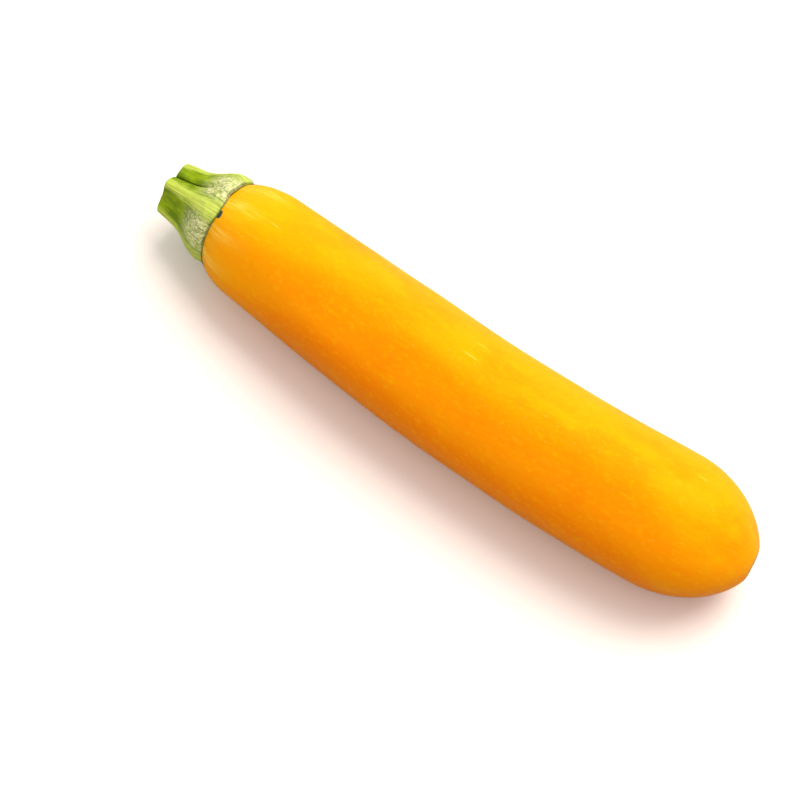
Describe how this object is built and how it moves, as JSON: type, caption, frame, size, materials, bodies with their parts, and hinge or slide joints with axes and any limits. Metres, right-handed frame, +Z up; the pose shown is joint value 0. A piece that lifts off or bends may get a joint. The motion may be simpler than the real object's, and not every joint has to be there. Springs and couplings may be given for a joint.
{
  "type": "yellow zucchini",
  "caption": "Whole golden-yellow zucchini with its cut green ribbed stem, lying on its side, slightly bowed.",
  "frame": {"origin": "under the middle of the bounding box, on the surface that the zucchini lies on", "axes": "+X runs from the cut stem to the blossom end, +Z is up, and the fruit bows towards -Y"},
  "size_m": [0.2086, 0.0436, 0.0407],
  "materials": {
    "skin": "satin",
    "stem": "matte"
  },
  "bodies": {
    "root": {"fruit": "skin", "stem": "stem"}
  },
  "joints": []
}
